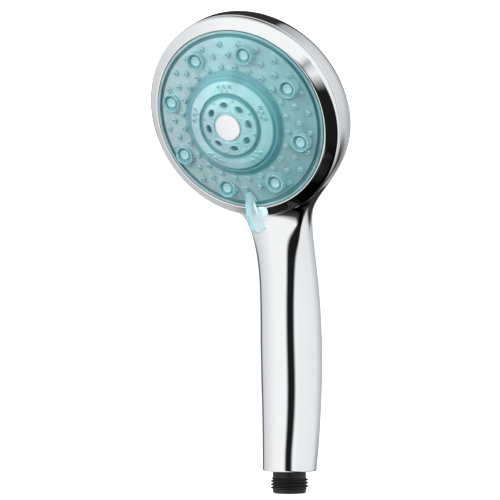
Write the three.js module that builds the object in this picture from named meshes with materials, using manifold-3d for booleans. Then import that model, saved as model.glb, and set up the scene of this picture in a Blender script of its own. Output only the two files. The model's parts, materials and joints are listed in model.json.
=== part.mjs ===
// Handheld shower head with a turning spray face, as an assembly of separate solids.
// Millimetres, +Z up. The origin is on the axis of the hose thread, at its lower end face.
// The spray face looks towards -Y and is tilted down; X is the left-right axis.
import * as THREE from 'three';
import { ParametricGeometry } from 'three/addons/geometries/ParametricGeometry.js';
import * as BufferGeometryUtils from 'three/addons/utils/BufferGeometryUtils.js';
import Module from 'manifold-3d';

const wasm = await Module();
wasm.setup();

// ---- driving dimensions (mm, degrees) ----
const CLEARANCE = 0.3; // gap between pieces that touch
const FACE_TILT = 20.5; // how far the spray face looks below the horizon
const HEAD_CENTRE = new THREE.Vector3(0, -58.6, 206.2); // centre of the bezel's front plane

const BODY_R = 57.2; // outer radius of the head
const BODY_FRONT = -6.4; // front edge of the body, behind the bezel's front plane
const BOWL_START = 12.6; // depth where the head's side begins to curve inwards
const BOWL_DEPTH = 33.2; // depth of the curved back at the axis
const BOWL_SLANT = 0.295; // how much deeper the back gets for each mm down the face
const BOWL_POWER = 2.37; // fullness of the curved back
const NECK_BLEND = 28; // size of the soft blend between handle and head
const NECK_START = 138; // height where the round handle begins to turn oval
const NECK_LENGTH = 24;
const NECK_WIDER = 0.08; // share that the neck gains in width
const NECK_FLATTER = 0.12; // share that it loses from front to back
const NECK_TOP = 160; // height where the handle's own form ends inside the head
const NECK_ROUNDING = 16;
const WALL = 2.4; // moulding thickness in the handle
const HEAD_WALL = 3.2; // moulding thickness in the head

const HANDLE_BOTTOM = 12.4; // lower edge of the chromed handle
// height, forward-back place of the handle's middle
const HANDLE_LINE = [
  [12.4, 0.3], [40, 2.4], [75, 2.5], [105, 1.1], [125, -1.5], [140, -5.8], [155, -9.8], [170, -15],
];
// height, radius of the handle
const HANDLE_RADIUS = [
  [12.4, 15.15], [40, 16.4], [75, 17.45], [105, 17], [125, 16.35], [140, 16.2], [170, 16.2],
];

const THREAD_CREST_R = 20.955 / 2; // G1/2 parallel pipe thread
const THREAD_ROOT_R = 18.631 / 2;
const THREAD_PITCH = 1.814;
const FLANGE_R = 11.7; // connector's flange inside the handle
const INLET_R = 7.4; // seat for strainer and restrictor in the connector's mouth

const TUBE_R = 6.8; // water tube, outside
const TUBE_BORE_R = 5.2;
const TUBE_DEPTH = 26; // water tube's axis behind the face, where it enters the base

const BASE_FRONT = -16.4; // front of the fixed diverter base
const BASE_BACK = -19.2;
const POST_TOP = 7.2; // end of the fixed centre post
const ROTOR_BACK = -9; // back of the turning channel plate
const ROTOR_FRONT = -6.5;
const CLICK_STEP = 30; // degrees between the selector's clicks
const CLICKS = 5;
const PORT_RADIUS = 20; // where the outlet port sits
const DETENT_RADIUS = 41;
const BASE_SCREW_RADIUS = 42;
const BASE_SCREW_ANGLES = [30, 150, 210, 330];

const NOZZLE_RING_R = 39.2; // large tube nozzles
const NOZZLE_COUNT = 8;
const NOZZLE_R = 5.1;
const PATTERN_TURN = 4.5; // degrees by which jets, nozzles and slots are turned past the lever
const NOZZLE_BORE_R = 3;
const NOZZLE_TOP = 6;
const SLOT_RING_R = 12.2; // oval slots in the centre plate
const LEVER_THICKNESS = 3.3;

const deg = THREE.MathUtils.degToRad;
const FINENESS = 0.02; // corners closer to flat than this are merged after a cut
const ROUND = 30; // sides of a large turned piece
const SMALL = 12; // sides of a small turned piece

// ---- finishes ----
const chrome = new THREE.MeshStandardMaterial({ color: 0xe6e8ea, roughness: 0.06, metalness: 1 });
const aqua = new THREE.MeshStandardMaterial({ color: 0x8fbfc4, roughness: 0.12, metalness: 0 });
const clearAqua = new THREE.MeshStandardMaterial({ color: 0xb9dde0, roughness: 0.08, metalness: 0 });
const blackPlastic = new THREE.MeshStandardMaterial({ color: 0x17181a, roughness: 0.45, metalness: 0 });
const whitePlastic = new THREE.MeshStandardMaterial({ color: 0xe4e6e4, roughness: 0.5, metalness: 0 });
const greyPlastic = new THREE.MeshStandardMaterial({ color: 0x9aa0a3, roughness: 0.5, metalness: 0 });
const rubber = new THREE.MeshStandardMaterial({ color: 0x202224, roughness: 0.8, metalness: 0 });
const steel = new THREE.MeshStandardMaterial({ color: 0xb7babd, roughness: 0.3, metalness: 1 });

// ---- helpers ----

// A closed solid from any geometry: shared corners merged, slivers without area left out.
function solid(geometry) {
  const plain = geometry.index ? geometry.toNonIndexed() : geometry.clone();
  plain.deleteAttribute('normal');
  plain.deleteAttribute('uv');
  const merged = BufferGeometryUtils.mergeVertices(plain, 1e-4);
  const corners = merged.index.array;
  const kept = [];
  for (let i = 0; i < corners.length; i += 3) {
    const [a, b, c] = [corners[i], corners[i + 1], corners[i + 2]];
    if (a !== b && b !== c && c !== a) kept.push(a, b, c);
  }
  const mesh = new wasm.Mesh({
    numProp: 3,
    vertProperties: new Float32Array(merged.attributes.position.array),
    triVerts: new Uint32Array(kept),
  });
  mesh.merge();
  const body = new wasm.Manifold(mesh);
  if (body.volume() > 0) return body;
  mesh.triVerts.reverse(); // the other winding turns the faces outwards
  return new wasm.Manifold(mesh);
}

// A three.js geometry from a solid; triangles that add nothing to the shape are merged.
function geometryOf(body) {
  const mesh = body.simplify(FINENESS).getMesh();
  const geometry = new THREE.BufferGeometry();
  const points = new Float32Array(mesh.numVert * 3);
  for (let i = 0; i < mesh.numVert; i += 1) {
    points.set(mesh.vertProperties.subarray(i * mesh.numProp, i * mesh.numProp + 3), i * 3);
  }
  geometry.setAttribute('position', new THREE.BufferAttribute(points, 3));
  geometry.setIndex(new THREE.BufferAttribute(new Uint32Array(mesh.triVerts), 1));
  geometry.computeVertexNormals();
  return geometry;
}

// A piece turned about Z. The outline is [radius, height] and runs anticlockwise.
function turned(outline, sides = ROUND) {
  const points = outline.map(([r, z]) => new THREE.Vector2(r, z));
  const onAxis = outline[0][0] === 0 && outline[outline.length - 1][0] === 0;
  if (!onAxis) points.push(points[0].clone());
  return new THREE.LatheGeometry(points, sides).rotateX(Math.PI / 2);
}

// A plain round bar along Z between two heights.
function bar(radius, low, high, sides = SMALL) {
  return turned([[0, low], [radius, low], [radius, high], [0, high]], sides);
}

// A ring of round section, lying flat at one height.
function roundRing(radius, section, height, sides = ROUND) {
  return new THREE.TorusGeometry(radius, section, 6, sides).translate(0, 0, height);
}

// A geometry carried out along an angle in the face plane. 0 is +X, 90 is up the face.
function placed(geometry, radius, angle) {
  const turn = deg(angle);
  return geometry.translate(radius * Math.cos(turn), radius * Math.sin(turn), 0);
}

// A smooth curve through [place, value] points, by cubic Hermite pieces.
function smoothThrough(points, at) {
  const last = points.length - 1;
  let i = 0;
  while (i < last - 1 && at > points[i + 1][0]) i += 1;
  const slope = (k) => {
    const a = points[Math.max(k - 1, 0)];
    const b = points[Math.min(k + 1, last)];
    return (b[1] - a[1]) / (b[0] - a[0]);
  };
  const span = points[i + 1][0] - points[i][0];
  const t = THREE.MathUtils.clamp((at - points[i][0]) / span, 0, 1);
  const from = points[i][1] * (2 * t ** 3 - 3 * t ** 2 + 1) + slope(i) * span * (t ** 3 - 2 * t ** 2 + t);
  return from + points[i + 1][1] * (3 * t ** 2 - 2 * t ** 3) + slope(i + 1) * span * (t ** 3 - t ** 2);
}

// The lower of two distances, with a rounded valley of the given size between them.
function softMin(a, b, size) {
  const t = THREE.MathUtils.clamp(0.5 + (0.5 * (b - a)) / size, 0, 1);
  return b * (1 - t) + a * t - size * t * (1 - t);
}

// ---- outer form of the body: a slanted bowl blended with a round handle ----
const faceNormal = new THREE.Vector3(0, -Math.cos(deg(FACE_TILT)), -Math.sin(deg(FACE_TILT)));
const faceUp = new THREE.Vector3(0, -Math.sin(deg(FACE_TILT)), Math.cos(deg(FACE_TILT)));

// Roughly the distance from a point to the head's bowl, less than zero inside it.
function headDistance(point) {
  const off = point.clone().sub(HEAD_CENTRE);
  const depth = Math.max(-off.dot(faceNormal) - BOWL_START, 0);
  const up = off.dot(faceUp);
  const back = BOWL_DEPTH - BOWL_SLANT * THREE.MathUtils.clamp(up, -BODY_R, BODY_R);
  const across = (Math.hypot(off.x, up) + 1e-9) / BODY_R;
  const inwards = depth / back;
  const level = (across ** BOWL_POWER + inwards ** BOWL_POWER) ** (1 / BOWL_POWER);
  const steep = level ** (1 - BOWL_POWER);
  const slopeAcross = (steep * across ** (BOWL_POWER - 1)) / BODY_R;
  const slopeIn = (steep * inwards ** (BOWL_POWER - 1)) / back;
  return (level - 1) / Math.hypot(slopeAcross, slopeIn);
}

// Roughly the distance from a point to the handle, less than zero inside it.
function handleDistance(point) {
  const oval = THREE.MathUtils.smoothstep(point.z, NECK_START, NECK_START + NECK_LENGTH);
  const across = point.x / (1 + NECK_WIDER * oval);
  const back = (point.y - smoothThrough(HANDLE_LINE, point.z)) / (1 - NECK_FLATTER * oval);
  const wall = smoothThrough(HANDLE_RADIUS, point.z) - Math.hypot(across, back);
  return -softMin(wall, NECK_TOP - point.z, NECK_ROUNDING);
}

// Head and handle together. The blend fades out towards the round front edge.
function bodyDistance(point) {
  const depth = -point.clone().sub(HEAD_CENTRE).dot(faceNormal);
  const fade = THREE.MathUtils.smoothstep(depth, -BODY_FRONT, 14 - BODY_FRONT);
  return softMin(headDistance(point), handleDistance(point), NECK_BLEND * fade + 1e-3);
}

// Sections cross the body like the leaves of a fan. In the handle they are level and rise;
// at the neck they turn about one line in front of it, until the last one is the head's front edge.
const FAN_UP = -64; // the fan's line lies this far down the face, in the plane of the front edge
const fanLine = HEAD_CENTRE.clone().addScaledVector(faceUp, FAN_UP).addScaledVector(faceNormal, BODY_FRONT);
const FAN_ANGLE = 90 + FACE_TILT;

function bodySection(along, fanShare) {
  const inHandle = along < 1 - fanShare;
  const turn = inHandle ? 0 : ((along - 1 + fanShare) / fanShare) * deg(FAN_ANGLE);
  const rise = inHandle ? along / (1 - fanShare) : 1;
  const height = THREE.MathUtils.lerp(HANDLE_BOTTOM, fanLine.z, rise);
  const hinge = new THREE.Vector3(0, fanLine.y, height);
  const outwards = new THREE.Vector3(0, Math.cos(turn), Math.sin(turn));
  const nearHandle = smoothThrough(HANDLE_LINE, height) - fanLine.y;
  const share = THREE.MathUtils.smoothstep(turn, 0, deg(FAN_ANGLE));
  return { hinge, outwards, middle: THREE.MathUtils.lerp(nearHandle, -FAN_UP, share) };
}

// The point on a section where the distance reaches -inset, found by halving.
function bodyPoint(section, angle, inset, target) {
  const { hinge, outwards, middle } = section;
  let inside = 0;
  let outside = 110;
  if (Math.sin(angle) < 0) outside = Math.min(outside, (middle - 0.5) / -Math.sin(angle));
  for (let i = 0; i < 34; i += 1) {
    const reach = (inside + outside) / 2;
    target.copy(hinge).addScaledVector(outwards, middle + reach * Math.sin(angle));
    target.x = reach * Math.cos(angle);
    if (bodyDistance(target) < -inset(target)) inside = reach;
    else outside = reach;
  }
  return target;
}

// A closed form of the whole body, drawn in by an inset; ends are closed at their middles.
function bodyForm(inset, overhang, steps, sides) {
  const surface = (v, u, target) => {
    const row = Math.round(u * (steps + 2));
    const along = THREE.MathUtils.clamp((row - 1) / steps, 0, 1);
    const section = bodySection(along, 0.62);
    if (row === 0 || row === steps + 2) {
      target.copy(section.hinge).addScaledVector(section.outwards, section.middle);
    } else {
      bodyPoint(section, (v % 1) * 2 * Math.PI, inset, target);
    }
    if (row <= 1) target.z -= overhang;
    if (row >= steps + 1) target.addScaledVector(faceNormal, overhang);
  };
  return solid(new ParametricGeometry(surface, sides, steps + 2));
}

// Moves a solid made in the head's own frame into the object's frame.
const headFrame = new THREE.Matrix4().makeBasis(new THREE.Vector3(1, 0, 0), faceUp, faceNormal);
headFrame.setPosition(HEAD_CENTRE);
const inHead = (geometry) => solid(geometry.applyMatrix4(headFrame));

// ---- body shell ----
function bodyShell() {
  const outer = bodyForm(() => 0, 0, 30, 28);
  const towardsHead = (point) => THREE.MathUtils.smoothstep(point.z, 120, 160);
  const wallAt = (point) => THREE.MathUtils.lerp(WALL, HEAD_WALL, towardsHead(point));
  const hollow = bodyForm(wallAt, 2, 14, 16);
  const seat = inHead(turned([
    [47.6, -22.5], [56, -22.5], [56, -12.4], [51, -12.4], [51, -19.5], [47.6, -19.5],
  ], 40));
  let shell = outer.subtract(hollow).add(seat.intersect(outer));
  for (const angle of BASE_SCREW_ANGLES) {
    const boss = inHead(placed(bar(4.4, -44, -19.5, 8), BASE_SCREW_RADIUS, angle));
    const pilot = inHead(placed(bar(1.8, -28, -19, 6), BASE_SCREW_RADIUS, angle));
    shell = shell.add(boss.intersect(outer)).subtract(pilot);
  }
  // steps inside the front edge: for the bezel's skirt, and for the base behind it
  const steps = inHead(bar(54.1, -12.4, -5, 40)).add(inHead(bar(51.05, -19.5, -5, 40)));
  shell = shell.subtract(steps);
  const tubeWay = new THREE.CylinderGeometry(8.9, 8.9, 30, SMALL).translate(0, -56, -TUBE_DEPTH);
  return geometryOf(shell.subtract(inHead(tubeWay).intersect(hollow)));
}

// ---- bezel ----
function bezelRing() {
  const lip = [
    [57, -6.1], [57.05, -5.2], [56.8, -4.6], [56.1, -3.9], [54.8, -2.9], [52.9, -1.5], [51.2, -0.3], [50.7, 0],
  ];
  const inside = [[50.35, -0.3], [50.35, -1.9], [51.9, -1.9]];
  return turned([[51.9, -12.1], [53.7, -12.1], [53.7, -6.1], ...lip, ...inside], 36);
}

// ---- spray face ----
// Front of the face, from the rim to the hole for the cap: rim, groove, cone, step, band, plate.
const FACE_FRONT = [
  [49.9, 0], [49.4, 0], [49.1, -1.6], [47.6, -1.6], [47.2, 0], [46.5, 0.2], [38, 3.2], [28.6, 5.9], [27.2, 7.1],
  [24.9, 9], [21.6, 10.4], [18.4, 11.3], [18.1, 10.4], [17.1, 10.5], [16.8, 11.7], [8.6, 13.8],
  [8.3, 13.3], [6.95, 13.5], [6.95, 11.9],
];
// Back of the face, from its centre hole out to the rim, with the walls between its chambers.
const FACE_BACK = [
  [5.2, 11.9], [5.2, 11], [16, 8.8], [16, -6.2], [17.4, -6.2], [17.4, 8], [24, 6.6], [28, 3.6],
  [34.2, 1.8], [34.2, -6.2], [35.4, -6.2], [35.4, 1.4], [47.6, -3.6], [47.6, -9.4],
  [49.9, -9.4], [49.9, -5.2], [51.5, -5.2], [51.5, -2.3], [49.9, -2.3],
];

// Height of the cone's front at a radius.
const coneHeight = (radius) => THREE.MathUtils.mapLinear(radius, 46.5, 28.6, 0.2, 5.9);

// Small tapered jet standing on the cone.
function jet(radius, angle) {
  const foot = coneHeight(radius);
  const outline = [[0, foot - 1], [1.5, foot - 1], [0.85, foot + 1.7], [0, foot + 1.7]];
  return placed(turned(outline, 4), radius, angle);
}

// Places of the small jets as [radius, angle]; angles are counted from straight down the face.
function jetPlaces() {
  const places = [];
  for (let i = 0; i < 24; i += 1) {
    if (i > 0) places.push([43.2, i * 15 + PATTERN_TURN]); // the lever's foot stands on the first place
    places.push([31.7, i * 15 + PATTERN_TURN]);
  }
  for (let i = 0; i < NOZZLE_COUNT; i += 1) {
    places.push([37.8, i * 45 - 7.25 + PATTERN_TURN]);
    places.push([37.8, i * 45 + 7.25 + PATTERN_TURN]);
  }
  return places;
}

const nozzleAngle = (i) => -90 + PATTERN_TURN + (i + 0.5) * (360 / NOZZLE_COUNT);

function ovalSlot(angle) {
  const oval = new THREE.Shape();
  oval.absellipse(0, 0, 1.3, 2.3, 0, Math.PI * 2);
  const cut = new THREE.ExtrudeGeometry(oval, { depth: 6, bevelEnabled: false, curveSegments: 5 });
  return placed(cut.rotateZ(deg(angle)).translate(0, 0, 8.5), SLOT_RING_R, angle);
}

function sprayFace() {
  let face = solid(turned([...FACE_BACK, ...FACE_FRONT], 28));
  const additions = jetPlaces().map(([radius, angle]) => solid(jet(radius, angle - 90)));
  const cuts = [];
  for (let i = 0; i < NOZZLE_COUNT; i += 1) {
    additions.push(solid(placed(bar(NOZZLE_R, 0.9, NOZZLE_TOP, 12), NOZZLE_RING_R, nozzleAngle(i))));
    cuts.push(solid(placed(bar(NOZZLE_BORE_R, -3, NOZZLE_TOP + 1, 8), NOZZLE_RING_R, nozzleAngle(i))));
    cuts.push(solid(ovalSlot(i * 45 + PATTERN_TURN)));
  }
  face = wasm.Manifold.union([face, ...additions]);
  return geometryOf(wasm.Manifold.difference([face, ...cuts]));
}

function aeratorDisc() {
  return turned([[0, 3.9], [2.7, 3.9], [2.7, 4.7], [1.9, 5.1], [0, 5.1]], 12);
}

function centreCap() {
  return turned([[0, 12.2], [6.65, 12.2], [6.65, 14], [6.1, 14.4], [4, 14.55], [0, 14.6]], 24);
}

// ---- selector lever: a thin fin across the bezel, on a wedge-shaped foot ----
function selectorLever() {
  const fin = new THREE.Shape();
  fin.moveTo(39.6, 3);
  fin.lineTo(50.2, 0.45);
  fin.lineTo(55.8, -1.7);
  fin.lineTo(56.9, -3.4);
  fin.lineTo(60.6, -7.2);
  fin.quadraticCurveTo(64.6, -7.6, 64.9, -4.8);
  fin.lineTo(64.9, 0.8);
  fin.bezierCurveTo(64.6, 4.6, 61, 8.4, 55.5, 8.5);
  fin.bezierCurveTo(50, 8.5, 44, 6.8, 40.4, 4.5);
  const blade = new THREE.ExtrudeGeometry(fin, {
    depth: LEVER_THICKNESS - 0.8, curveSegments: 5,
    bevelThickness: 0.4, bevelSize: 0.4, bevelOffset: -0.4, bevelSegments: 1,
  });
  // the outline's first axis runs down the face, its second one forwards
  const stand = new THREE.Matrix4().makeBasis(
    new THREE.Vector3(0, -1, 0), new THREE.Vector3(0, 0, 1), new THREE.Vector3(-1, 0, 0),
  );
  blade.applyMatrix4(stand).translate(LEVER_THICKNESS / 2 - 0.4, 0, 0);
  const wedge = new THREE.Shape([
    new THREE.Vector2(-1.3, -40.2), new THREE.Vector2(-2.8, -46.2), new THREE.Vector2(2.8, -46.2),
    new THREE.Vector2(1.3, -40.2),
  ]);
  const foot = new THREE.ExtrudeGeometry(wedge, { depth: 4, bevelEnabled: false });
  const under = new THREE.BoxGeometry(12, 14, 8).translate(0, 0, -4);
  const over = new THREE.BoxGeometry(12, 20, 8).translate(0, 0, 5.1);
  const slope = Math.atan2(coneHeight(40.2) - coneHeight(46.5), 6.3);
  const seat = new THREE.Matrix4().makeRotationX(slope).setPosition(0, -45, coneHeight(45) + CLEARANCE + 0.1);
  const footing = solid(foot).subtract(solid(under.applyMatrix4(seat))).subtract(solid(over.applyMatrix4(seat)));
  return geometryOf(solid(blade).add(footing));
}

// ---- channel plate: turning valve plate behind the face ----
function channelPlate() {
  let plate = solid(turned([
    [4.3, ROTOR_BACK], [47.2, ROTOR_BACK], [47.2, ROTOR_FRONT], [6, ROTOR_FRONT], [6, 7.4], [4.3, 7.4],
  ]));
  for (let i = 0; i < CLICKS; i += 1) {
    const turn = (i - (CLICKS - 1) / 2) * CLICK_STEP;
    const notch = new THREE.SphereGeometry(2.4, 10, 8).translate(0, 0, ROTOR_BACK - 1.3);
    plate = plate.subtract(solid(placed(notch, DETENT_RADIUS, 90 + turn)));
    plate = plate.subtract(solid(placed(bar(2.6, -12, 0, 12), PORT_RADIUS + 1.2, -90 + turn)));
  }
  return geometryOf(plate);
}

// ---- massage turbine ----
function massageTurbine() {
  const parts = [solid(turned([[6.35, -6], [8, -6], [8, 5.8], [15.2, 5.8], [15.2, 7], [6.35, 7]], 24))];
  for (let i = 0; i < 9; i += 1) {
    const blade = new THREE.BoxGeometry(7, 1, 10).rotateZ(0.35).translate(11.2, 0, 1);
    parts.push(solid(blade.rotateZ((i / 9) * 2 * Math.PI)));
  }
  const window = new THREE.Shape();
  window.absarc(0, 0, 14, 0, 2.7, false);
  window.absarc(0, 0, 9.6, 2.7, 0, true);
  const opening = new THREE.ExtrudeGeometry(window, { depth: 3, bevelEnabled: false, curveSegments: 8 });
  const wheel = wasm.Manifold.union(parts);
  return geometryOf(wheel.subtract(solid(opening.translate(0, 0, 6.05))));
}

// ---- diverter base: fixed plate with inlet drum, centre post, port cup and detent cup ----
function diverterBase() {
  const plate = turned([
    [0, -32.5], [26, -32.5], [26, BASE_BACK], [50.7, BASE_BACK], [50.7, -17.8], [48.9, -17.8], [48.9, -15.6],
    [50.7, -15.6], [50.7, -14.4], [47.4, -14.4], [47.4, BASE_FRONT], [4, BASE_FRONT], [4, POST_TOP], [0, POST_TOP],
  ]);
  const stub = new THREE.CylinderGeometry(8.4, 8.4, 26, SMALL).translate(0, -33, -TUBE_DEPTH);
  const inlet = new THREE.CylinderGeometry(TUBE_R + CLEARANCE, TUBE_R + CLEARANCE, 26, SMALL);
  const drum = bar(24.2, -30.7, BASE_BACK, 28);
  const cups = [
    placed(bar(5.6, -17, -11, SMALL), PORT_RADIUS, -90),
    placed(bar(4, -17, -11, SMALL), DETENT_RADIUS, 90),
  ];
  const cuts = [
    drum, inlet.translate(0, -36, -TUBE_DEPTH), bar(1.7, -5, POST_TOP + 1, 12),
    placed(bar(4.2, BASE_FRONT, -10, SMALL), PORT_RADIUS, -90), placed(bar(2.4, -21, -10, 12), PORT_RADIUS, -90),
    placed(bar(2.6, BASE_FRONT, -10, SMALL), DETENT_RADIUS, 90),
    ...BASE_SCREW_ANGLES.map((angle) => placed(bar(1.9, -21, -14, 8), BASE_SCREW_RADIUS, angle)),
  ];
  const whole = wasm.Manifold.union([plate, stub, ...cups].map(solid));
  return geometryOf(wasm.Manifold.difference([whole, ...cuts.map(solid)]));
}

// ---- springs, seals and fasteners ----
class SpringLine extends THREE.Curve {
  constructor(radius, low, high, turns) {
    super();
    Object.assign(this, { radius, low, high, turns });
  }

  getPoint(t, target = new THREE.Vector3()) {
    const turn = t * this.turns * 2 * Math.PI;
    const height = THREE.MathUtils.lerp(this.low, this.high, t);
    return target.set(this.radius * Math.cos(turn), this.radius * Math.sin(turn), height);
  }
}

function spring(radius, wire, low, high, turns) {
  const section = new THREE.Shape();
  section.absarc(0, 0, wire, 0, 2 * Math.PI, false);
  const line = new SpringLine(radius, low + wire, high - wire, turns);
  return new THREE.ExtrudeGeometry(section, { steps: Math.round(turns * 8), extrudePath: line, curveSegments: 3 });
}

function crossHeadScrew(headRadius, headLow, headHigh, shankRadius, shankLow) {
  const head = turned([
    [0, shankLow], [shankRadius, shankLow + 0.8], [shankRadius, headLow], [headRadius, headLow],
    [headRadius, (headLow + headHigh) / 2], [headRadius * 0.6, headHigh], [0, headHigh],
  ], SMALL);
  const arm = new THREE.BoxGeometry(headRadius * 1.1, 0.7, 1.6).translate(0, 0, headHigh);
  const cross = solid(arm).add(solid(arm.clone().rotateZ(Math.PI / 2)));
  return geometryOf(solid(head).subtract(cross));
}

// Rubber cup that presses on the channel plate, over its spring.
function portSeal() {
  return turned([[2.2, -12], [3.9, -12], [3.9, -10], [3.3, -9.3], [2.2, -9.3]], SMALL);
}

// Click pin with a round nose; at rest it rides just behind the plate's flat.
function detentPlunger() {
  return turned([[0, -13.4], [2.2, -13.4], [2.2, -11.2], [1.6, -10.9], [1.45, -10.1], [0.9, -9.5], [0, -9.3]], 12);
}

function retainingWasher() {
  return turned([[1.9, 7.7], [6.6, 7.7], [6.6, 8.5], [1.9, 8.5]], 20);
}

// ---- connector, strainer and water tube ----
// One turn of the thread rises by the pitch; it grows out of the core and sinks back at both ends.
function threadRidge(low, high) {
  const turns = (high - low) / THREAD_PITCH;
  const corners = [[9, -0.85], [THREAD_CREST_R, -0.16], [THREAD_CREST_R, 0.16], [9, 0.85]];
  const steps = Math.round(turns * 14);
  const surface = (v, u, target) => {
    const [radius, rise] = corners[Math.round(v * 4) % 4];
    const fade = Math.min(1, u * turns * 3, (1 - u) * turns * 3);
    const turn = u * turns * 2 * Math.PI;
    const reach = THREE.MathUtils.lerp(9.1, radius, fade);
    target.set(reach * Math.cos(turn), reach * Math.sin(turn), THREE.MathUtils.lerp(low, high, u) + rise * fade);
  };
  return new ParametricGeometry(surface, 4, steps);
}

function threadedConnector() {
  const core = turned([
    [INLET_R, 0], [THREAD_ROOT_R - 0.3, 0], [THREAD_ROOT_R, 0.3], [THREAD_ROOT_R, 12.8],
    [FLANGE_R, 12.8], [FLANGE_R, 20],
    [10.4, 20.5], [10.4, 34], [TUBE_R + CLEARANCE, 34], [TUBE_R + CLEARANCE, 30.2], [8.6, 30.2], [8.6, 27.8],
    [TUBE_R + CLEARANCE, 27.8], [TUBE_R + CLEARANCE, 22.2], [TUBE_BORE_R, 22.2],
    [TUBE_BORE_R, 10.4], [INLET_R, 10.4],
  ], 24);
  return geometryOf(solid(core).add(solid(threadRidge(2.5, 8.1))));
}

function filterScreen() {
  return turned([[0, 2.6], [4, 1.9], [5.6, 0.6], [7.1, 0.6], [7.1, 1.6], [6.2, 1.6], [4.4, 3], [0, 3.6]], 20);
}

function flowRestrictor() {
  return turned([[1.6, 5], [7.1, 5], [7.1, 10], [3.4, 10], [1.6, 7.4]], 20);
}

function waterTube() {
  const ring = new THREE.Shape();
  ring.absarc(0, 0, TUBE_R, 0, 2 * Math.PI, false);
  const bore = new THREE.Path();
  bore.absarc(0, 0, TUBE_BORE_R, 0, 2 * Math.PI, true);
  ring.holes.push(bore);
  const end = (up) => HEAD_CENTRE.clone().addScaledVector(faceUp, up).addScaledVector(faceNormal, -TUBE_DEPTH);
  const path = new THREE.CatmullRomCurve3([
    new THREE.Vector3(0, 0, 22.5), new THREE.Vector3(0, 0, 36), new THREE.Vector3(0, 1.3, 62),
    new THREE.Vector3(0, 1.6, 92), new THREE.Vector3(0, 0.2, 114), new THREE.Vector3(0, -2.4, 131),
    end(-78), end(-62), end(-44),
  ]);
  return new THREE.ExtrudeGeometry(ring, { steps: 16, extrudePath: path, curveSegments: 5 });
}

// ---- assembly ----
const shower = new THREE.Group();
const head = new THREE.Group();
head.position.copy(HEAD_CENTRE);
head.rotation.x = deg(90 + FACE_TILT);
shower.add(head);

function addPiece(parent, name, geometry, material, radius = 0, angle = 0) {
  const piece = new THREE.Mesh(geometry, material);
  piece.name = name;
  piece.position.set(radius * Math.cos(deg(angle)), radius * Math.sin(deg(angle)), 0);
  parent.add(piece);
}

addPiece(shower, 'body_shell', bodyShell(), chrome);
addPiece(shower, 'threaded_connector', threadedConnector(), blackPlastic);
addPiece(shower, 'connector_o_ring', roundRing(7.95, 0.45, 29, 24), rubber);
addPiece(shower, 'filter_screen', filterScreen(), whitePlastic);
addPiece(shower, 'flow_restrictor', flowRestrictor(), greyPlastic);
addPiece(shower, 'water_tube', waterTube(), whitePlastic);

addPiece(head, 'bezel_ring', bezelRing(), chrome);
addPiece(head, 'diverter_base', diverterBase(), whitePlastic);
addPiece(head, 'base_seal', roundRing(49.9, 0.7, -16.7), rubber);
BASE_SCREW_ANGLES.forEach((angle, i) => {
  const screw = crossHeadScrew(3.4, BASE_FRONT + CLEARANCE, -14.2, 1.4, -26.5);
  addPiece(head, `base_screw_${i + 1}`, screw, steel, BASE_SCREW_RADIUS, angle);
});
addPiece(head, 'port_seal', portSeal(), rubber, PORT_RADIUS, -90);
addPiece(head, 'port_spring', spring(3.2, 0.35, -16, -12.3, 3.5), steel, PORT_RADIUS, -90);
addPiece(head, 'detent_plunger', detentPlunger(), greyPlastic, DETENT_RADIUS, 90);
addPiece(head, 'detent_spring', spring(1.7, 0.3, -16.1, -13.7, 3), steel, DETENT_RADIUS, 90);
addPiece(head, 'centre_screw', crossHeadScrew(4, 8.8, 11, 1.35, -4), steel);
addPiece(head, 'retaining_washer', retainingWasher(), steel);

addPiece(head, 'channel_plate', channelPlate(), greyPlastic);
addPiece(head, 'massage_turbine', massageTurbine(), whitePlastic);
addPiece(head, 'spray_face', sprayFace(), aqua);
for (let i = 0; i < NOZZLE_COUNT; i += 1) {
  addPiece(head, `aerator_disc_${i + 1}`, aeratorDisc(), clearAqua, NOZZLE_RING_R, nozzleAngle(i));
}
addPiece(head, 'centre_cap', centreCap(), chrome);
addPiece(head, 'selector_lever', selectorLever(), clearAqua);

export default shower;
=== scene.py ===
"""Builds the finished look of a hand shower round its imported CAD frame.

All sizes are metres in the frame's own axes: +Z up, the spray face towards -Y and tilted down.
The head's own axes are X, "up the face" and "out of the face"; their middle is the selector's joint.
"""

import json
import math

import bpy
import numpy as np
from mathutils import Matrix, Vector


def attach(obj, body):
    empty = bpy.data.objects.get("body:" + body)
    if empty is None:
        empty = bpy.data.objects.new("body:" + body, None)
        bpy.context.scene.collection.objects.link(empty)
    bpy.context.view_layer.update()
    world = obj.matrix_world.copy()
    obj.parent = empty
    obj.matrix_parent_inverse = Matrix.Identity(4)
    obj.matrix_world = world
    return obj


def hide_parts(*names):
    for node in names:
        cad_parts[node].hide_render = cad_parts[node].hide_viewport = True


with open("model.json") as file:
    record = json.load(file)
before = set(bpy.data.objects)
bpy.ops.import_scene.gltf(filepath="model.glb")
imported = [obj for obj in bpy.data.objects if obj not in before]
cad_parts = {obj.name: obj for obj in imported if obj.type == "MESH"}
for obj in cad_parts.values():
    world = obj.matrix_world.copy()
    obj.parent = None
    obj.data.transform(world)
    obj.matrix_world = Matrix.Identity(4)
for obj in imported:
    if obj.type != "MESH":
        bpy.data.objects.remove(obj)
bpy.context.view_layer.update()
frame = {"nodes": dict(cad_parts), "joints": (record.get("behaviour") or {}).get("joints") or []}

bl_info = {
    "name": "Hand Shower",
    "version": (1, 0, 0),
    "blender": (4, 5, 0),
    "location": "3D View > Sidebar > Hand Shower",
    "description": "Makes a chromed hand shower with a clear aqua spray face round its CAD frame",
    "category": "Object",
}

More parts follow.
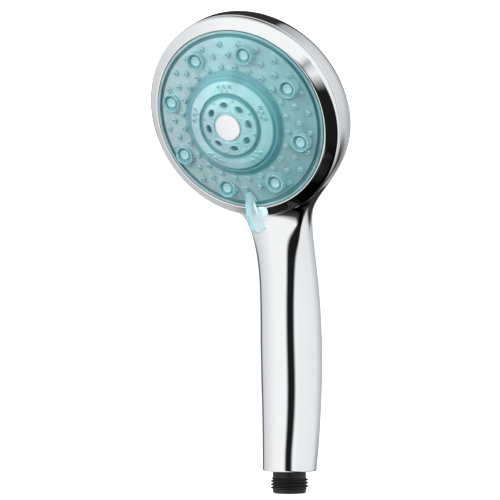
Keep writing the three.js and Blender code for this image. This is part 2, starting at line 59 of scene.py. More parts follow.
MM = 0.001  # one millimetre in metres
SELECTOR = next(joint for joint in frame["joints"] if joint["name"] == "selector_turn")
HEAD_MIDDLE = np.array(SELECTOR["pos_m"])
OUT = np.array(SELECTOR["axis"]) / np.linalg.norm(SELECTOR["axis"])  # out of the spray face
ACROSS = np.array([1.0, 0.0, 0.0])
UP = np.cross(OUT, ACROSS)  # up the face
TILT = math.atan2(OUT[1], OUT[2])  # turn about X that carries the Z axis onto OUT, with its sign changed
PLATE_TOP, PLATE_FALL = 16 * MM, 0.256  # the middle plate's height at the axis, and its fall outwards
SLOT_SHADE_EDGE = (15.4 * MM, 15.8 * MM)  # radii between which the painted shade in the slots ends
SLOT_SHADE_DEPTHS, SLOT_SHADE_SHARE = (0.6 * MM, 2.2 * MM), 0.6  # depths between which that painted shade rises, and its most
RINGS_END = 50  # millimetres; radius at the end of the face's coloured rings
PATTERN_TURN = 4.5  # degrees by which jets, nozzles and slots are turned past the lever
FOOT = 12.4 * MM  # height of the handle's lower edge
HINGE_REACH = 64 * MM  # from the head's middle down to the line about which the neck's sections turn
HINGE_LINE = HEAD_MIDDLE - HINGE_REACH * UP - 6.4 * MM * OUT
FAN_TURN = math.radians(110.5)  # from a level section to the face's own plane


# ---------------------------------------------------------------- sizes and colours


def metres(name, description, default):
    """A length."""
    return bpy.props.FloatProperty(name=name, description=description, default=default, unit="LENGTH")


def plain(name, description, default):
    """A number without a unit."""
    return bpy.props.FloatProperty(name=name, description=description, default=default)


def tint(name, description, default):
    """A colour."""
    return bpy.props.FloatVectorProperty(name=name, description=description, default=default, subtype="COLOR")


class BodySizes(bpy.types.PropertyGroup):
    """The chromed body: a round handle that runs into a slanted bowl."""

    head_radius: metres("Head radius", "Radius of the head's side", 0.0572)
    bowl_start: metres("Straight side", "Depth where the side begins to curve in", 0.0126)
    bowl_depth: metres("Bowl depth", "Depth of the curved back at the axis", 0.0332)
    bowl_slant: plain("Bowl slant", "Share by which the back gets deeper down the face", 0.295)
    bowl_power: plain("Bowl fullness", "Power of the bowl's rounded outline; 2 is an ellipse", 2.37)
    neck_blend: metres("Neck blend", "Size of the soft blend between handle and head", 0.028)
    neck_start: metres("Neck start", "Height where the handle begins to turn oval", 0.138)
    neck_length: metres("Neck length", "Length over which it turns oval", 0.024)
    neck_wider: plain("Neck wider", "Share gained in width", 0.08)
    neck_flatter: plain("Neck flatter", "Share lost in depth", 0.12)
    neck_top: metres("Neck top", "Height where the handle ends inside the head", 0.160)
    neck_rounding: metres("Neck rounding", "Rounding of the handle's end inside the head", 0.016)
    edge_round: metres("Edge rounding", "Rounding of the handle's lower edge", 0.0007)


class FaceSizes(bpy.types.PropertyGroup):
    """The clear spray face, its jets and its nozzles."""

    jet_height: metres("Jet height", "Height of a small jet over the cone", 0.0017)
    nozzle_ring: metres("Nozzle ring", "Radius of the ring of large nozzles", 0.0392)
    nozzle_radius: metres("Nozzle radius", "Outside radius of a large nozzle", 0.0051)
    nozzle_top: metres("Nozzle top", "Top of the large nozzles over the rim's plane", 0.006)
    slot_depth: metres("Slot depth", "Depth of the oval slots round the cap", 0.003)
    lever_thickness: metres("Lever thickness", "Thickness of the selector's fin", 0.0033)


class Finishes(bpy.types.PropertyGroup):
    """Colours of the finishes."""

    chrome: tint("Chrome", "Tint of the chrome plate", (0.92, 0.93, 0.945))
    aqua_pale: tint("Pale aqua", "Thin walls of the face", (0.43, 0.71, 0.74))
    aqua_mid: tint("Mid aqua", "The face's cone", (0.39, 0.67, 0.70))
    # deep aqua, darkened, also gives the painted shade in the slots; lightened, the painted highlight on the
    # step ring
    aqua_deep: tint("Deep aqua", "Thick rings of the face", (0.16, 0.45, 0.50))
    clear_aqua: tint("Clear aqua", "Edges of the lever", (0.50, 0.80, 0.84))
    clear_side: tint("Clear side", "Flat sides of the lever", (0.84, 0.95, 0.96))
    black: tint("Black plastic", "The hose connector", (0.006, 0.006, 0.0075))
    white: tint("White plastic", "The water tube and base", (0.72, 0.74, 0.73))
    grey: tint("Grey plastic", "The channel plate", (0.60, 0.66, 0.67))
    rubber: tint("Rubber", "Seals", (0.018, 0.018, 0.02))
    steel: tint("Steel", "Springs and screws", (0.56, 0.57, 0.58))


class StageSizes(bpy.types.PropertyGroup):
    """Floor, lights and camera."""

    azimuth: bpy.props.FloatProperty(
        name="Azimuth", description="How far the camera stands round from the front",
        default=math.radians(28.35), subtype="ANGLE", unit="ROTATION",
    )
    distance: metres("Distance", "Camera to the aimed point", 1.5165)
    lens: plain("Lens", "Focal length in millimetres", 195.0)
    aim_height: metres("Aim height", "Height of the aimed point", 0.13586)
    aim_side: metres("Aim to the side", "Aimed point, to the camera's right", -0.02206)
    backdrop: tint("Backdrop", "Colour of floor and backdrop", (0.93, 0.94, 0.95))


GROUPS = {
    "shower_body": BodySizes,
    "shower_face": FaceSizes,
    "shower_finishes": Finishes,
    "shower_stage": StageSizes,
}

# Height and forward-back place of the handle's middle, and its radius, in millimetres.
HANDLE_LINE = [
    [12.4, 0.3], [40, 2.4], [75, 2.5], [105, 1.1], [125, -1.5], [140, -5.8], [155, -9.8], [170, -15],
]
HANDLE_RADIUS = [
    [12.4, 15.15], [40, 16.4], [75, 17.45], [105, 17], [125, 16.35], [140, 16.2], [170, 16.2],
]


# ---------------------------------------------------------------- curves and grids


def smooth_step(low, high, value):
    """0 below low, 1 above high, and 3t^2 - 2t^3 between them."""
    t = np.clip((value - low) / (high - low), 0, 1)
    return t * t * (3 - 2 * t)


def soft_min(a, b, size):
    """The lower of a and b, with a rounded valley where they are within size of each other."""
    t = np.clip(0.5 + 0.5 * (b - a) / size, 0, 1)
    return b * (1 - t) + a * t - size * t * (1 - t)


def smooth_through(points, at):
    """A cubic Hermite curve through [place, value] rows; each slope is that of the chord past it."""
    place, value = np.asarray(points, float).T
    before = np.maximum(np.arange(len(place)) - 1, 0)
    after = np.minimum(np.arange(len(place)) + 1, len(place) - 1)
    slope = (value[after] - value[before]) / (place[after] - place[before])
    k = np.clip(np.searchsorted(place, at) - 1, 0, len(place) - 2)
    span = place[k + 1] - place[k]
    t = np.clip((at - place[k]) / span, 0, 1)
    from_low = value[k] * (2 * t**3 - 3 * t**2 + 1) + slope[k] * span * (t**3 - 2 * t**2 + t)
    return from_low + value[k + 1] * (3 * t**2 - 2 * t**3) + slope[k + 1] * span * (t**3 - t**2)


def rounded(points, fillet, steps=5, closed=True):
    """A line with its corners rounded: each corner becomes a parabola that starts and ends fillet away.

    fillet is one length, or one for each corner. Two more points lie on each straight piece, close
    to its ends, so that flat faces stay flat when they are shaded.
    """
    corner = np.asarray(points, float)
    to_last = np.roll(corner, 1, axis=0) - corner
    to_next = np.roll(corner, -1, axis=0) - corner
    size = np.minimum(np.hypot(*to_last.T), np.hypot(*to_next.T)) * 0.42
    reach = np.minimum(size, fillet)[:, None]
    start = corner + to_last / (np.hypot(*to_last.T)[:, None] + 1e-12) * reach
    end = corner + to_next / (np.hypot(*to_next.T)[:, None] + 1e-12) * reach
    t = np.linspace(0, 1, steps)[None, :, None]
    bends = (1 - t) ** 2 * start[:, None] + 2 * t * (1 - t) * corner[:, None] + t**2 * end[:, None]
    following = np.roll(start, -1, axis=0)
    shares = np.array([0.12, 0.5, 0.88])[None, :, None]
    flats = end[:, None] * (1 - shares) + following[:, None] * shares
    line = np.concatenate([bends, flats], axis=1)
    if closed:
        return line.reshape(-1, 2)
    line[0, :steps] = corner[0]
    whole = line.reshape(-1, 2)[steps - 1 : -(3 + steps - 1)]
    return np.vstack([whole[:-1], corner[-1]])


def spline(points, per_span):
    """A Catmull-Rom curve through the points, with per_span pieces between two of them."""
    p = np.asarray(points, float)
    p = np.vstack([2 * p[0] - p[1], p, 2 * p[-1] - p[-2]])
    t = np.arange(per_span)[None, :, None] / per_span
    a, b, c, d = (p[i : len(p) - 3 + i][:, None] for i in range(4))
    curve = 0.5 * (2 * b + (c - a) * t + (2 * a - 5 * b + 4 * c - d) * t**2 + (3 * b - a - 3 * c + d) * t**3)
    return np.vstack([curve.reshape(-1, p.shape[1]), p[-2]])


def resampled(line, step):
    """The line's own points with more between them, none further apart than step."""
    line = np.asarray(line, float)
    run = np.concatenate([[0], np.cumsum(np.hypot(*np.diff(line, axis=0).T))])
    at = np.unique(np.concatenate([run, np.arange(0, run[-1], step)]))
    at = at[np.concatenate([[True], np.diff(at) > 0.02 * MM])]
    return np.stack([np.interp(at, run, line[:, 0]), np.interp(at, run, line[:, 1])], axis=1)


def in_head(across, up, out):
    """Points given in the head's own axes, in the frame's axes."""
    across, up, out = np.broadcast_arrays(across, up, out)
    return HEAD_MIDDLE + across[..., None] * ACROSS + up[..., None] * UP + out[..., None] * OUT


def round_angles(count):
    """Angles evenly spaced round a circle."""
    return np.arange(count) * 2 * math.pi / count


def turned(line, columns, place=(0.0, 0.0), upright=False):
    """A line of [radius, height] carried round an axis: out of the face, or upright through the origin."""
    line = np.asarray(line, float)
    angle = round_angles(columns)
    x = line[:, :1] * np.cos(angle) + place[0]
    y = line[:, :1] * np.sin(angle) + place[1]
    z = np.repeat(line[:, 1:], columns, axis=1)
    return np.stack([x, y, z], axis=-1) if upright else in_head(x, y, z)


def woven(points, closed=False, poles=(False, False)):
    """The faces of a grid whose columns run right round. closed joins the last row to the first; a pole
    closes an end row with a fan to its middle."""
    rows, columns = points.shape[:2]
    here = np.arange(rows * columns).reshape(rows, columns)
    beside = np.roll(here, -1, axis=1)
    above, above_beside = np.roll(here, -1, axis=0), np.roll(beside, -1, axis=0)
    upto = rows if closed else rows - 1
    quads = np.stack([here, beside, above_beside, above], axis=-1)[:upto].reshape(-1, 4)
    places = [points.reshape(-1, 3)]
    fans = [np.zeros((0, 3), int)]
    if poles[0]:
        middle = np.full(columns, rows * columns)
        places.append(points[0].mean(axis=0)[None])
        fans.append(np.stack([beside[0], here[0], middle], axis=-1))
    if poles[1]:
        middle = np.full(columns, rows * columns + len(places) - 1)
        places.append(points[-1].mean(axis=0)[None])
        fans.append(np.stack([here[-1], beside[-1], middle], axis=-1))
    return np.vstack(places), quads, np.vstack(fans)


def facing_out(places, quads, fans):
    """The faces, all turned round if the volume they enclose comes out negative."""
    corners = np.vstack([quads[:, [0, 1, 2]], quads[:, [0, 2, 3]], fans])
    a, b, c = (places[corners[:, i]] - places.mean(axis=0) for i in range(3))
    if np.einsum("ij,ij->i", a, np.cross(b, c)).sum() < 0:
        return places, quads[:, ::-1], fans[:, ::-1]
    return places, quads, fans


def make_piece(name, forms, body, finish, stands_for=(), sharp=None):
    """One object from closed forms of (places, quads, fans), riding on a CAD body."""
    forms = [facing_out(*form) for form in forms]
    starts = np.cumsum([0] + [len(places) for places, _, _ in forms[:-1]])
    places = np.vstack([form[0] for form in forms])
    quads = np.vstack([form[1] + start for form, start in zip(forms, starts)])
    fans = np.vstack([form[2] + start for form, start in zip(forms, starts)])
    mesh = new_mesh(name, places, quads, fans)
    if sharp is not None:
        mesh.set_sharp_from_angle(angle=math.radians(sharp))
    mesh.materials.append(finish)
    piece = new_object(name, mesh)
    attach(piece, body)
    if stands_for:
        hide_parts(*stands_for)


def new_object(name, data):
    """An object in the scene."""
    made = bpy.data.objects.new(name, data)
    bpy.context.scene.collection.objects.link(made)
    return made


def new_mesh(name, places, quads, fans):
    """A smooth mesh of four-sided and three-sided faces."""
    mesh = bpy.data.meshes.new(name)
    mesh.vertices.add(len(places))
    mesh.vertices.foreach_set("co", places.astype(np.float32).ravel())
    mesh.loops.add(quads.size + fans.size)
    mesh.loops.foreach_set("vertex_index", np.concatenate([quads.ravel(), fans.ravel()]).astype(np.int32))
    mesh.polygons.add(len(quads) + len(fans))
    loop_starts = np.concatenate([np.arange(len(quads)) * 4, quads.size + np.arange(len(fans)) * 3])
    mesh.polygons.foreach_set("loop_start", loop_starts.astype(np.int32))
    mesh.update(calc_edges=True)
    if mesh.validate():
        raise ValueError(f"{name}: the mesh had faces that are not usable")
    mesh.shade_smooth()
    return mesh


# ---------------------------------------------------------------- finishes


class Nodes:
    """Short ways to add nodes. What goes into a node is a socket to link or a value to set."""

    def __init__(self, tree):
        self.tree = tree

    def give(self, socket, given):
        if isinstance(given, bpy.types.NodeSocket):
            self.tree.links.new(given, socket)
        else:
            socket.default_value = given

    def node(self, kind, inputs, **settings):
        """The outputs of a new node; inputs go by the name or the number of a socket."""
        made = self.tree.nodes.new(kind)
        for key, value in settings.items():
            setattr(made, key, value)
        for key, given in inputs.items():
            self.give(made.inputs[key], given)
        return made.outputs

    def math(self, operation, *inputs):
        return self.node("ShaderNodeMath", dict(enumerate(inputs)), operation=operation)["Value"]

    def vector(self, operation, *inputs, out="Vector"):
        return self.node("ShaderNodeVectorMath", dict(enumerate(inputs)), operation=operation)[out]

    def mapped(self, vector, **settings):
        """A vector stretched, turned and moved."""
        return self.node("ShaderNodeMapping", {"Vector": vector, **settings})["Vector"]

    def parts(self, vector):
        """The X, Y and Z of a vector."""
        return self.node("ShaderNodeSeparateXYZ", {"Vector": vector})

    def between(self, value, low, high, from_low=0.35, from_high=0.65, kind="LINEAR"):
        """value carried from its own range to low..high."""
        inputs = {"Value": value, "From Min": from_low, "From Max": from_high, "To Min": low, "To Max": high}
        return self.node("ShaderNodeMapRange", inputs, interpolation_type=kind)["Result"]

    def window(self, value, low, high):
        """0 below low, 1 above high, with a soft rise between them."""
        return self.between(value, 0.0, 1.0, low, high, "SMOOTHSTEP")

    def tints(self, value, stops):
        """Colours along value: stops are (place, colour)."""
        ramp = self.tree.nodes.new("ShaderNodeValToRGB")
        elements = ramp.color_ramp.elements
        while len(elements) < len(stops):
            elements.new(0.5)
        for element, (at, colour) in zip(elements, stops):
            element.position = at
            element.color = (*colour, 1.0)
        self.give(ramp.inputs["Fac"], value)
        return ramp.outputs["Color"]


class Finish(Nodes):
    """A new node material, whose textures read the object's own place."""

    def __init__(self, name, **values):
        self.material = bpy.data.materials.new(name)
        self.material.use_nodes = True
        super().__init__(self.material.node_tree)
        self.place = self.node("ShaderNodeTexCoord", {})["Object"]
        for key, value in values.items():
            self.shader(key.replace("_", " "), value)

    def shader(self, socket, given):
        self.give(self.tree.nodes["Principled BSDF"].inputs[socket], given)

    def noise(self, size, detail=2.0, place=None):
        """Cloudy noise whose lumps are about size across."""
        inputs = {"Vector": place or self.place, "Scale": 1.0 / size, "Detail": detail}
        return self.node("ShaderNodeTexNoise", inputs)["Fac"]

    def mixed(self, share, a, b, blend="MIX"):
        inputs = {"Factor": share, "A": a, "B": b}
        return self.node("ShaderNodeMix", inputs, data_type="RGBA", blend_type=blend)["Result"]

    def drift(self, value, colour, low, high=1.0):
        """Gives the shader a colour that follows value from its share low to its share high."""
        self.shader("Base Color", self.tints(value, [(0.3, shade(colour, low)), (0.7, shade(colour, high))]))

    def gloss(self, value, low, high):
        """Gives the shader a roughness that follows value from low to high."""
        self.shader("Roughness", self.between(value, low, high))

    def bump(self, height, depth):
        self.shader("Normal", self.node("ShaderNodeBump", {"Distance": depth, "Height": height})["Normal"])


def shade(colour, share):
    """The colour made darker or lighter by a share."""
    return tuple(min(1.0, channel * share) for channel in colour)


def chrome_plate(colour):
    """Bright plate: faint clouds in its gloss and a barely felt waviness in its surface."""
    made = Finish("chrome_plate", Metallic=1.0, Roughness=0.04)
    made.drift(made.noise(0.018, 3.0), colour, 0.985)
    made.gloss(made.noise(0.004, 4.0), 0.025, 0.05)
    made.bump(made.noise(0.03, 1.0), 0.00003)
    return made.material


def moulded(name, colour, rough, grain=0.0006, sheen=0.3):
    """Moulded plastic: a fine even grain, with its colour and gloss drifting a little."""
    made = Finish(name, Specular_IOR_Level=sheen)
    made.drift(made.noise(0.012, 4.0), colour, 0.88, 1.06)
    made.gloss(made.noise(0.002, 3.0), rough * 0.85, rough * 1.2)
    made.bump(made.noise(grain), 0.00002)
    return made.material


def drawn_steel(colour):
    """Plain steel with fine drawing lines."""
    made = Finish("drawn_steel", Metallic=1.0)
    lines = made.noise(0.003, 4.0, made.mapped(made.place, Scale=(1.0, 1.0, 12.0)))
    made.drift(lines, colour, 0.9)
    made.gloss(lines, 0.22, 0.36)
    return made.material


def aqua_moulding(pale, mid, deep):
    """Clear aqua moulding: deeper in colour where the walls are thick, in rings about the axis, with
    soft grey-green clouds of what lies behind it. Painted shade darkens the slots round the cap, a thin
    painted highlight lies on the step ring, and painted shade makes the face lighter and greyer at its
    left and darker at its right."""
    made = Finish("aqua_moulding", IOR=1.49, Transmission_Weight=0.42, Coat_Weight=0.6,
                  Coat_Roughness=0.03, Specular_IOR_Level=0.6)
    to_middle = (0.0, -float(HEAD_MIDDLE @ UP), -float(HEAD_MIDDLE @ OUT))
    place = made.mapped(made.place, Rotation=(TILT, 0.0, 0.0), Location=to_middle)  # in the head's own axes
    across, _, height = made.parts(place)
    radius = made.vector("LENGTH", made.vector("MULTIPLY", place, (1.0, 1.0, 0.0)), out="Value")
    plate = shade(pale, 1.16)
    rings = [
        (6.6, plate), (15.6, plate), (16.3, deep), (18.5, deep), (19.0, plate), (24.2, plate), (25.0, deep),
        # the lighter line at 26.35 mm is a painted highlight on the step ring's ledge
        (26.1, deep), (26.35, shade(deep, 1.5)), (26.6, deep), (29.4, deep), (30.6, mid),
        (33.6, mid), (34.2, shade(pale, 0.98)), (35.4, shade(pale, 0.98)), (36.0, mid), (45.5, mid),
        (46.3, pale), (46.9, deep), (48.2, deep), (48.8, pale),
    ]
    share = made.between(radius, 0.0, 1.0, 0.0, RINGS_END * MM)
    colour = made.tints(share, [(at / RINGS_END, tint) for at, tint in rings])
    # painted shade: below the plate's front the slots are tinted towards a darker deep aqua by their depth, as
    # shade falls in them
    plate_top = made.math("MULTIPLY_ADD", radius, -PLATE_FALL, PLATE_TOP)
    slot_shade_depth = made.between(made.math("SUBTRACT", plate_top, height), 0.0, SLOT_SHADE_SHARE, *SLOT_SHADE_DEPTHS)
    painted_slot_shade = made.math("MULTIPLY", slot_shade_depth, made.between(radius, 1.0, 0.0, *SLOT_SHADE_EDGE))
    colour = made.mixed(painted_slot_shade, colour, (*shade(deep, 0.9), 1.0))
    clouds = [(0.32, (0.76, 0.80, 0.83)), (0.5, (1.0, 1.0, 1.0)), (0.68, (0.80, 1.0, 0.96))]
    colour = made.mixed(1.0, colour, made.tints(made.noise(0.019, 2.5), clouds), "MULTIPLY")
    # painted shade: the face lighter and greyer at its left and darker at its right, as light falls on it from
    # the left
    sides = [(0.1, (1.12, 0.93, 0.93)), (0.5, (1.02, 1.02, 1.02)), (0.9, (0.64, 0.80, 0.80))]
    painted_shade_across = made.between(across, 0.0, 1.0, -RINGS_END * MM, RINGS_END * MM)
    made.shader("Base Color", made.mixed(1.0, colour, made.tints(painted_shade_across, sides), "MULTIPLY"))
    made.gloss(made.noise(0.003, 3.0), 0.06, 0.12)
    made.bump(made.noise(0.009), 0.00008)
    return made.material


def clear_fin(colour, edge_colour):
    """Clear tinted moulding whose edges, looked along, are deeper in colour than its flat sides."""
    made = Finish("clear_fin", IOR=1.3, Transmission_Weight=0.7, Specular_IOR_Level=0.4)
    off_middle = made.math("ABSOLUTE", made.parts(made.place)["X"])
    share = made.between(off_middle, 0.0, 1.0, 1.25 * MM, 1.6 * MM)
    flow = made.tints(made.noise(0.006), [(0.3, (0.93, 0.97, 0.97)), (0.7, (1.0, 1.0, 1.0))])
    tint = made.tints(share, [(0.0, edge_colour), (1.0, colour)])
    made.shader("Base Color", made.mixed(1.0, tint, flow, "MULTIPLY"))
    made.gloss(made.noise(0.002), 0.03, 0.06)
    return made.material


def clear_moulding(name, colour, clear, rough):
    """Clear tinted moulding: light passes it, with faint flow clouds in its tint."""
    made = Finish(name, IOR=1.46, Transmission_Weight=clear, Specular_IOR_Level=0.5)
    made.drift(made.noise(0.006), colour, 0.93)
    made.gloss(made.noise(0.002), rough * 0.8, rough * 1.3)
    return made.material


def strainer_mesh(colour):
    """Fine woven screen: two crossed sets of lines raise the wires, and painted shade darkens the holes
    between them.
    """
    made = Finish("strainer_mesh", Roughness=0.4)
    lines = {"Scale": 320.0, "Vector": made.place}
    wires = made.math("MAXIMUM", *(
        made.node("ShaderNodeTexWave", lines, wave_type="BANDS", bands_direction=way)["Fac"] for way in "XY"
    ))
    # painted shade: the holes between the wires are near black, where the dark inside would show through
    made.shader("Base Color", made.tints(wires, [(0.45, shade(colour, 0.12)), (0.8, colour)]))
    made.bump(wires, 0.0002)
    return made.material


# ---------------------------------------------------------------- the body


def head_distance(across, up, depth, size):
    """Roughly the distance to the bowl, less than zero inside: the level of a power-rounded outline of
    the distance from the axis and the depth past the straight side, divided by its steepness."""
    inwards = np.maximum(depth - size.bowl_start, 0)
    back = size.bowl_depth - size.bowl_slant * np.clip(up, -size.head_radius, size.head_radius)
    a = (np.hypot(across, up) + 1e-12) / size.head_radius
    b = inwards / back
    power = size.bowl_power
    level = (a**power + b**power) ** (1 / power)
    steep = level ** (1 - power)
    return (level - 1) / np.hypot(steep * a ** (power - 1) / size.head_radius, steep * b ** (power - 1) / back)


def handle_distance(points, size):
    """Roughly the distance to the handle, less than zero inside: the radius at that height less the
    distance from its middle line, cut off softly at the top. Near the top its section turns oval."""
    x, y, z = points[..., 0], points[..., 1], points[..., 2]
    oval = smooth_step(size.neck_start, size.neck_start + size.neck_length, z)
    line = smooth_through(HANDLE_LINE, z / MM) * MM
    radius = smooth_through(HANDLE_RADIUS, z / MM) * MM
    from_middle = np.hypot(x / (1 + size.neck_wider * oval), (y - line) / (1 - size.neck_flatter * oval))
    return -soft_min(radius - from_middle, size.neck_top - z, size.neck_rounding)


def body_distance(points, size):
    """Head and handle together, softly blended; the blend fades out towards the round front edge."""
    off = points - HEAD_MIDDLE
    depth = -off @ OUT
    fade = smooth_step(6.4 * MM, 20.4 * MM, depth)
    head = head_distance(off[..., 0], off @ UP, depth, size)
    return soft_min(head, handle_distance(points, size), size.neck_blend * fade + 1e-6)


def body_rows(heights, turns, inset, size, columns):
    """Rings of the body. Level sections rise along the handle; at the neck they turn about one line in
    front of it, like the leaves of a fan. On each section the wall is found by halving, along rays
    from its middle, where the distance to the body reaches -inset."""
    level = np.concatenate([heights, np.full(len(turns), HINGE_LINE[2])])[:, None]
    turn = np.concatenate([np.zeros(len(heights)), turns])[:, None]
    near = smooth_through(HANDLE_LINE, level / MM) * MM - HINGE_LINE[1]
    share = smooth_step(0, FAN_TURN, turn)
    middle = near * (1 - share) + HINGE_REACH * share
    angle = round_angles(columns)[None]
    inside = np.zeros((len(turn), columns))
    limit = np.where(np.sin(angle) < -1e-6, (middle - 0.5 * MM) / np.maximum(-np.sin(angle), 1e-6), 1.0)
    outside = np.minimum(0.110, limit)

    def at(reach):
        along = middle + reach * np.sin(angle)
        x = reach * np.cos(angle)
        return np.stack([x, HINGE_LINE[1] + along * np.cos(turn), level + along * np.sin(turn)], axis=-1)

    for _ in range(32):
        reach = (inside + outside) / 2
        points = at(reach)
        within = body_distance(points, size) < -inset(points)
        inside = np.where(within, reach, inside)
        outside = np.where(within, outside, reach)
    return at(inside)


def eased(rows, along, across, hold):
    """The rows with each point drawn towards the mean of its neighbours, again and again: along times
    between rows and across times between columns. hold is the share of that draw each row takes."""
    for _ in range(along):
        drawn = (rows[:-2] + 2 * rows[1:-1] + rows[2:]) / 4
        rows = np.concatenate([rows[:1], rows[1:-1] + hold[1:-1] * (drawn - rows[1:-1]), rows[-1:]])
    for _ in range(across):
        drawn = (np.roll(rows, 1, axis=1) + 2 * rows + np.roll(rows, -1, axis=1)) / 4
        rows = rows + hold * (drawn - rows)
    return rows


class SHOWER_OT_body(bpy.types.Operator):
    """Make the chromed body as one shell, handle and head together"""

    bl_idname = "shower.body"
    bl_label = "Body"

    def execute(self, context):
        size = context.scene.shower_body
        columns = 192
        low = FOOT + np.array([0, 0.02, 0.08, 0.18, 0.32, 0.5, 0.7, 1.0, 1.6]) * MM
        heights = np.concatenate([low, np.linspace(low[-1], HINGE_LINE[2], 74)[1:]])
        turns = np.linspace(0, FAN_TURN, 170)[1:]

        def edge(points):
            left = np.clip(size.edge_round - (points[..., 2] - FOOT), 0, size.edge_round)
            return size.edge_round - np.sqrt(size.edge_round**2 - left**2)

        def wall(points):
            return (2.4 + 0.8 * smooth_step(0.12, 0.16, points[..., 2])) * MM

        outer = body_rows(heights, turns, edge, size, columns)
        place = np.arange(len(outer))[:, None, None]
        hold = smooth_step(12, 30, place) * (1 - smooth_step(len(outer) - 26, len(outer) - 8, place))
        outer = eased(outer, 60, 14, hold)
        inner = body_rows(heights[::3], turns[::2], wall, size, columns)
        off = inner - HEAD_MIDDLE
        depth = -off @ OUT
        room = np.where(depth < 12.4 * MM, 54.1, np.where(depth < 19.6 * MM, 51.05, 200.0)) * MM
        x, up = off[..., 0], off @ UP
        rho = np.hypot(x, up) + 1e-12
        pull = np.minimum(1.0, room / rho)
        pull = np.where(rho < 60 * MM, pull, 1.0)
        inner = in_head(x * pull, up * pull, -depth)
        lip = np.array([[57.2, -6.95], [57.13, -6.68], [56.95, -6.48], [56.6, -6.4], [54.3, -6.4]]) * MM
        rows = np.concatenate([outer[:-1], turned(lip, columns), inner[::-1]])
        make_piece("chrome_body", [woven(rows, closed=True)], "body", finishes()["chrome"],
                   ["body_shell"], sharp=50)
        return {"FINISHED"}


class SHOWER_OT_bezel(bpy.types.Operator):
    """Make the chromed bezel: a smooth lip line carried round the head, with its skirt behind"""

    bl_idname = "shower.bezel"
    bl_label = "Bezel"

    def execute(self, context):
        lip = spline(
            [[56.5, -5.95], [56.85, -5.85], [57.04, -5.6], [57.08, -5.2], [56.85, -4.65], [56.15, -3.92],
             [54.8, -2.9], [52.9, -1.5], [51.6, -0.55], [51.0, -0.16], [50.72, -0.12]], 6,
        )
        inside = [[50.4, -0.3], [50.35, -1.9], [51.9, -1.9], [51.9, -12.1], [53.7, -12.1], [53.7, -6.0],
                  [56.2, -6.0]]
        inside = rounded(inside, 0.15, 4, closed=False)
        line = np.vstack([lip, inside]) * MM
        make_piece("chrome_bezel", [woven(turned(line, 288), closed=True)], "body",
                   finishes()["chrome"], ["bezel_ring"], sharp=50)
        return {"FINISHED"}


# ---------------------------------------------------------------- the spray face

# Front of the face from the rim in to the cap's hole, as [radius, height], in millimetres.
FACE_FRONT = [
    [49.9, -0.1], [49.6, 0.0], [48.55, 0.0], [48.25, -1.5], [47.05, -1.5], [46.65, 0.15], [38, 3.2],
    [29.2, 5.75], [28.2, 6.5], [27.3, 7.1], [26.9, 7.75], [26.3, 7.8], [24.9, 9], [21.6, 10.4],
    [18.5, 11.25], [18.15, 10.4], [17.1, 10.5], [16.75, 11.6], [8.7, 13.7], [8.35, 13.3], [6.95, 13.4],
]
# Back of the face from its centre hole out to the rim, with the walls between its chambers.
FACE_BACK = [
    [6.95, 11.9], [5.2, 11.9], [5.2, 11], [16, 8.8], [16, -6.2], [17.4, -6.2], [17.4, 8], [24, 6.6], [28, 3.6],
    [34.2, 1.8], [34.2, -6.2], [35.4, -6.2], [35.4, 1.4], [47.6, -3.6], [47.6, -9.4],
    [49.9, -9.4], [49.9, -5.2], [51.5, -5.2], [51.5, -2.3], [49.9, -2.3],
]


def cone_height(radius):
    """Height of the cone's front at a radius: straight between its two ends."""
    return np.interp(radius, [29.2 * MM, 38 * MM, 46.65 * MM], [5.75 * MM, 3.2 * MM, 0.15 * MM])


def spots(radius, angle):
    """Places in the face's plane from radii and angles; angles are counted from straight down the face."""
    turn = np.radians(np.asarray(angle, float) - 90)
    radius = np.broadcast_to(np.asarray(radius, float), turn.shape)
    return np.stack([radius * np.cos(turn), radius * np.sin(turn)], axis=-1)


def nearness(points, middles):
    """Distance from each point of the face's plane to the nearest of the middles."""
    gaps = points[..., None, :] - middles
    return np.sqrt((gaps**2).sum(axis=-1)).min(axis=-1)


def face_relief(x, y, slot_depth):
    """Height added to the face: oval slots sunk round the cap, each in a low rim; little nozzles between
    them and in five groups on the sloping band, each a bump with a hole; and a low round
    boss under each large nozzle."""
    points = np.stack([x, y], axis=-1)
    radius = np.hypot(x, y)
    eighth = np.radians(45)
    angle = np.arctan2(y, x) - np.radians(PATTERN_TURN)
    beside = (angle - eighth * np.round(angle / eighth)) * 12.2 * MM
    oval = np.hypot((radius - 12.2 * MM) / (1.6 * MM), beside / (2.3 * MM))
    height = -slot_depth * (1 - smooth_step(0.72, 1.12, oval))
    height += 0.28 * MM * np.exp(-(((oval - 1.28) / 0.16) ** 2))

    def nozzles(middles, wide, tall, hole):
        gap = nearness(points, middles)
        bump = 1 - smooth_step(0.55 * wide, wide, gap)
        return tall * bump - tall * 1.3 * (1 - smooth_step(0.4 * hole, hole, gap))

    between = np.arange(8) * 45 + 22.5 + PATTERN_TURN
    height += nozzles(spots(15.2 * MM, between), 0.95 * MM, 0.55 * MM, 0.42 * MM)
    height += nozzles(spots(9.7 * MM, between), 0.7 * MM, 0.3 * MM, 0.3 * MM)
    groups = (np.arange(5) * 72 + 36)[:, None]
    main = (groups + np.array([-8.75, 0, 8.75])).ravel()
    small = (groups + np.array([-4.4, 4.4])).ravel()
    height += nozzles(spots(22.2 * MM, main), 1.4 * MM, 0.95 * MM, 0.75 * MM)
    height += nozzles(spots(20.0 * MM, small), 1.0 * MM, 0.6 * MM, 0.5 * MM)
    bosses = nearness(points, spots(38.9 * MM, between))
    return height + 0.5 * MM * (1 - smooth_step(5.7 * MM, 6.4 * MM, bosses))


